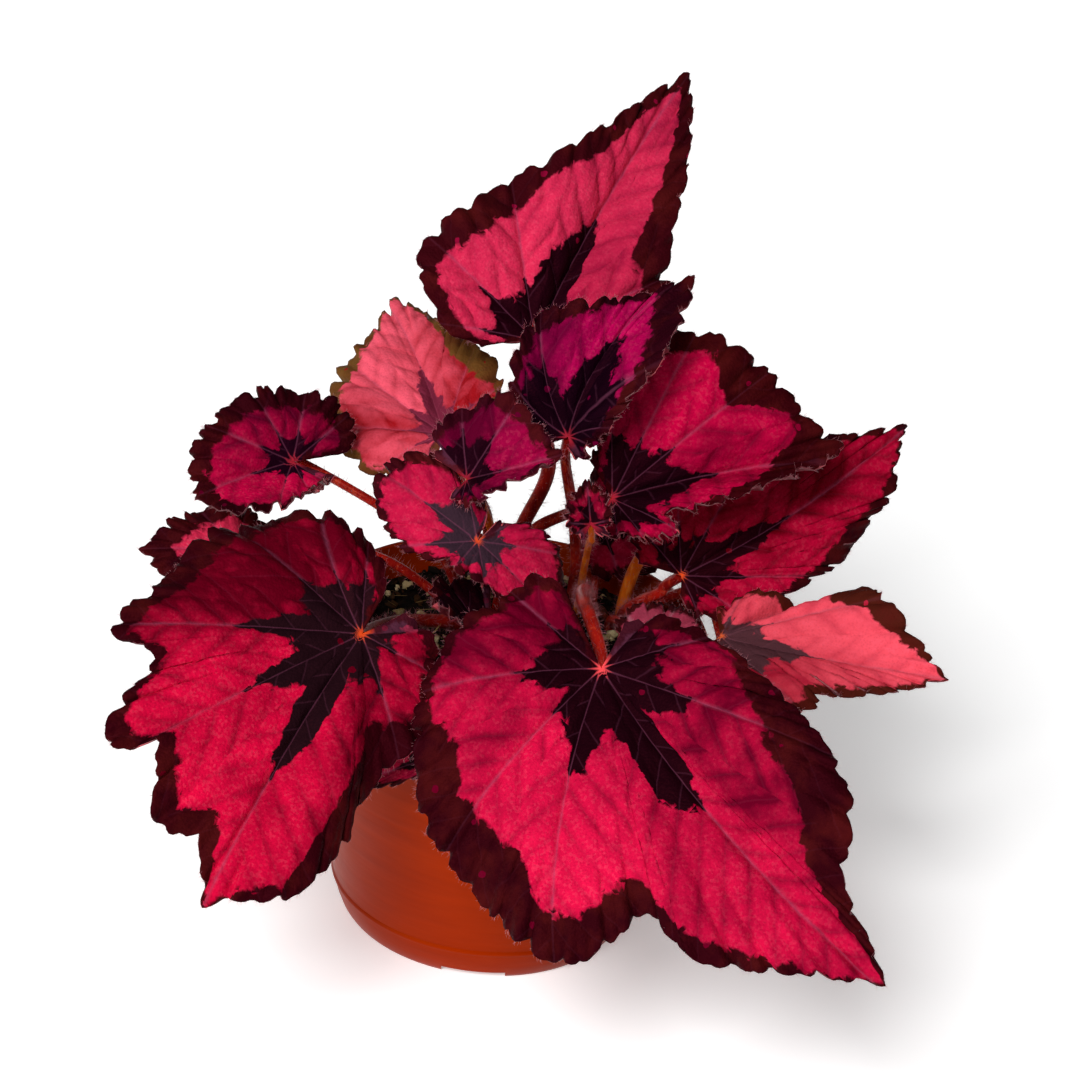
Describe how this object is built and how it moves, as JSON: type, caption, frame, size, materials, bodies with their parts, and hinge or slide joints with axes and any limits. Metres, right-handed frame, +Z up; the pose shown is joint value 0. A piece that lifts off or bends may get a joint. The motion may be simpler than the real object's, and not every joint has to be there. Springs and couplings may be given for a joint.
{
  "type": "potted red robin rex begonia",
  "caption": "Potted rex begonia: large lobed, waved crimson leaves with dark centres and rims on hairy red stalks, in a tapered plastic nursery pot.",
  "frame": {"origin": "centre of the pot's base, on the surface that the pot stands on", "axes": "+Z up along the pot's axis, -Y towards the side that the plant shows to the viewer, +X to the viewer's right"},
  "size_m": [0.2087, 0.1992, 0.213],
  "materials": {
    "pot": "satin",
    "soil": "rough",
    "crown": "rough",
    "crimson_leaf": "satin",
    "dusky_leaf": "satin",
    "red_stalk": "satin",
    "orange_stalk": "satin"
  },
  "bodies": {
    "root": {"pot": "pot", "soil": "soil", "crown_right": "crown", "crown_left": "crown", "leaf_01_blade": "crimson_leaf", "leaf_01_petiole": "red_stalk", "leaf_02_blade": "crimson_leaf", "leaf_02_petiole": "red_stalk", "leaf_03_blade": "crimson_leaf", "leaf_03_petiole": "red_stalk", "leaf_04_blade": "crimson_leaf", "leaf_04_petiole": "red_stalk", "leaf_05_blade": "dusky_leaf", "leaf_05_petiole": "orange_stalk", "leaf_06_blade": "crimson_leaf", "leaf_06_petiole": "red_stalk", "leaf_07_blade": "crimson_leaf", "leaf_07_petiole": "red_stalk", "leaf_08_blade": "crimson_leaf", "leaf_08_petiole": "red_stalk", "leaf_09_blade": "crimson_leaf", "leaf_09_petiole": "red_stalk", "leaf_10_blade": "crimson_leaf", "leaf_10_petiole": "red_stalk", "leaf_11_blade": "crimson_leaf", "leaf_11_petiole": "red_stalk", "leaf_12_blade": "dusky_leaf", "leaf_12_petiole": "red_stalk", "leaf_13_blade": "dusky_leaf", "leaf_13_petiole": "red_stalk", "leaf_14_blade": "dusky_leaf", "leaf_14_petiole": "red_stalk", "leaf_15_blade": "dusky_leaf", "leaf_15_petiole": "red_stalk", "leaf_16_blade": "dusky_leaf", "leaf_16_petiole": "red_stalk", "leaf_17_blade": "dusky_leaf", "leaf_17_petiole": "orange_stalk", "leaf_18_blade": "crimson_leaf", "leaf_18_petiole": "orange_stalk"}
  },
  "joints": []
}
